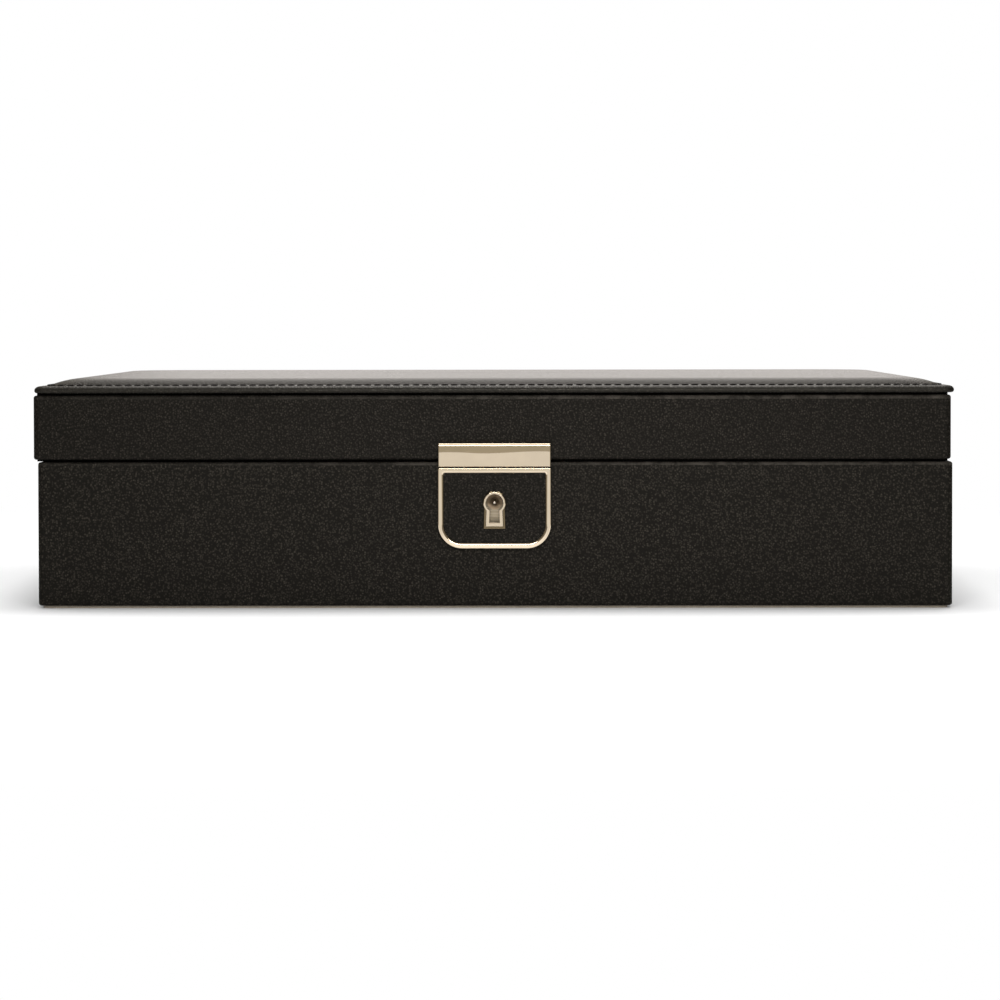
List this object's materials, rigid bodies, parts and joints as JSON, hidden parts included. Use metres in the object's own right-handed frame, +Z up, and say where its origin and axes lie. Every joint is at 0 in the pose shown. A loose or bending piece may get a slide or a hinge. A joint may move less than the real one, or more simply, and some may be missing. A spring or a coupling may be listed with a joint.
{
  "type": "cufflink box with drawer",
  "caption": "Low leather-covered box with a padded hinged lid, lined divided tray, front lock plate with keyhole and a shallow side drawer.",
  "frame": {"origin": "middle of the felt's underside, on the surface that the box stands on", "axes": "+X along the front to the drawer's side, -Y towards the front with the lock, +Z up"},
  "size_m": [0.2866, 0.1975, 0.0716],
  "materials": {
    "leather": "black pebbled leather, satin",
    "gold": "pale gold plate, polished",
    "suede": "taupe suede cloth",
    "felt": "taupe felt",
    "foam": "upholstery foam",
    "card": "dense grey board",
    "wood": "sanded fibreboard",
    "steel": "plain rolled steel"
  },
  "bodies": {
    "case": {"base_felt": "felt", "case_back_board": "wood", "case_floor_board": "wood", "case_front_board": "wood", "case_leather": "leather", "case_left_board": "wood", "case_right_board": "wood", "cell_pads": "suede", "drawer_guides": "wood", "hinge_leaf_case_left": "gold", "hinge_leaf_case_right": "gold", "hinge_pins": "gold", "hinge_screws_case": "gold", "key_pin": "steel", "keyhole_collar": "gold", "lock_backplate": "steel", "lock_bezel": "gold", "lock_cap": "steel", "lock_case": "steel", "lock_inlay": "leather", "lock_rim_plate": "gold", "long_pad": "suede", "rim_plate_screws": "gold", "tray_divider_cross_1": "suede", "tray_divider_cross_2": "suede", "tray_divider_cross_3": "suede", "tray_divider_cross_4": "suede", "tray_divider_cross_5": "suede", "tray_divider_long_1": "suede", "tray_divider_long_2": "suede", "tray_divider_long_3": "suede", "tray_floor_suede": "suede", "tray_liner": "suede", "tray_shelf": "wood"},
    "lid": {"lid_front_rail": "wood", "lid_back_rail": "wood", "lid_left_rail": "wood", "lid_right_rail": "wood", "lid_top_board": "wood", "lid_leather": "leather", "lid_panel_card": "card", "lid_foam": "foam", "lid_top_leather": "leather", "lid_lining": "suede", "clasp_bar": "gold", "strike_plate": "gold", "strike_screws": "gold", "hinge_leaf_lid_left": "gold", "hinge_leaf_lid_right": "gold", "hinge_screws_lid": "gold"},
    "drawer": {"drawer_front_board": "wood", "drawer_front_leather": "leather", "drawer_sides": "wood", "drawer_end_board": "wood", "drawer_bottom": "wood", "drawer_lining": "suede", "drawer_dividers": "suede", "pull_cup": "gold"},
    "bail": {"pull_bail": "gold"},
    "bolt": {"lock_bolt": "steel"}
  },
  "joints": [
    {"name": "lid_hinge", "type": "hinge", "parent": "case", "child": "lid", "pos_m": [0, 0.0975, 0.046], "axis": [-1, 0, 0], "range_deg": [0, 95]},
    {"name": "drawer_slide", "type": "slide", "parent": "case", "child": "drawer", "axis": [1, 0, 0], "range_m": [0, 0.18]},
    {"name": "bail_pivot", "type": "hinge", "parent": "drawer", "child": "bail", "pos_m": [0.1412, 0, 0.0187], "axis": [0, -1, 0], "range_deg": [0, 90]},
    {"name": "bolt_slide", "type": "slide", "parent": "case", "child": "bolt", "axis": [-1, 0, 0], "range_m": [0, 0.0025]}
  ]
}
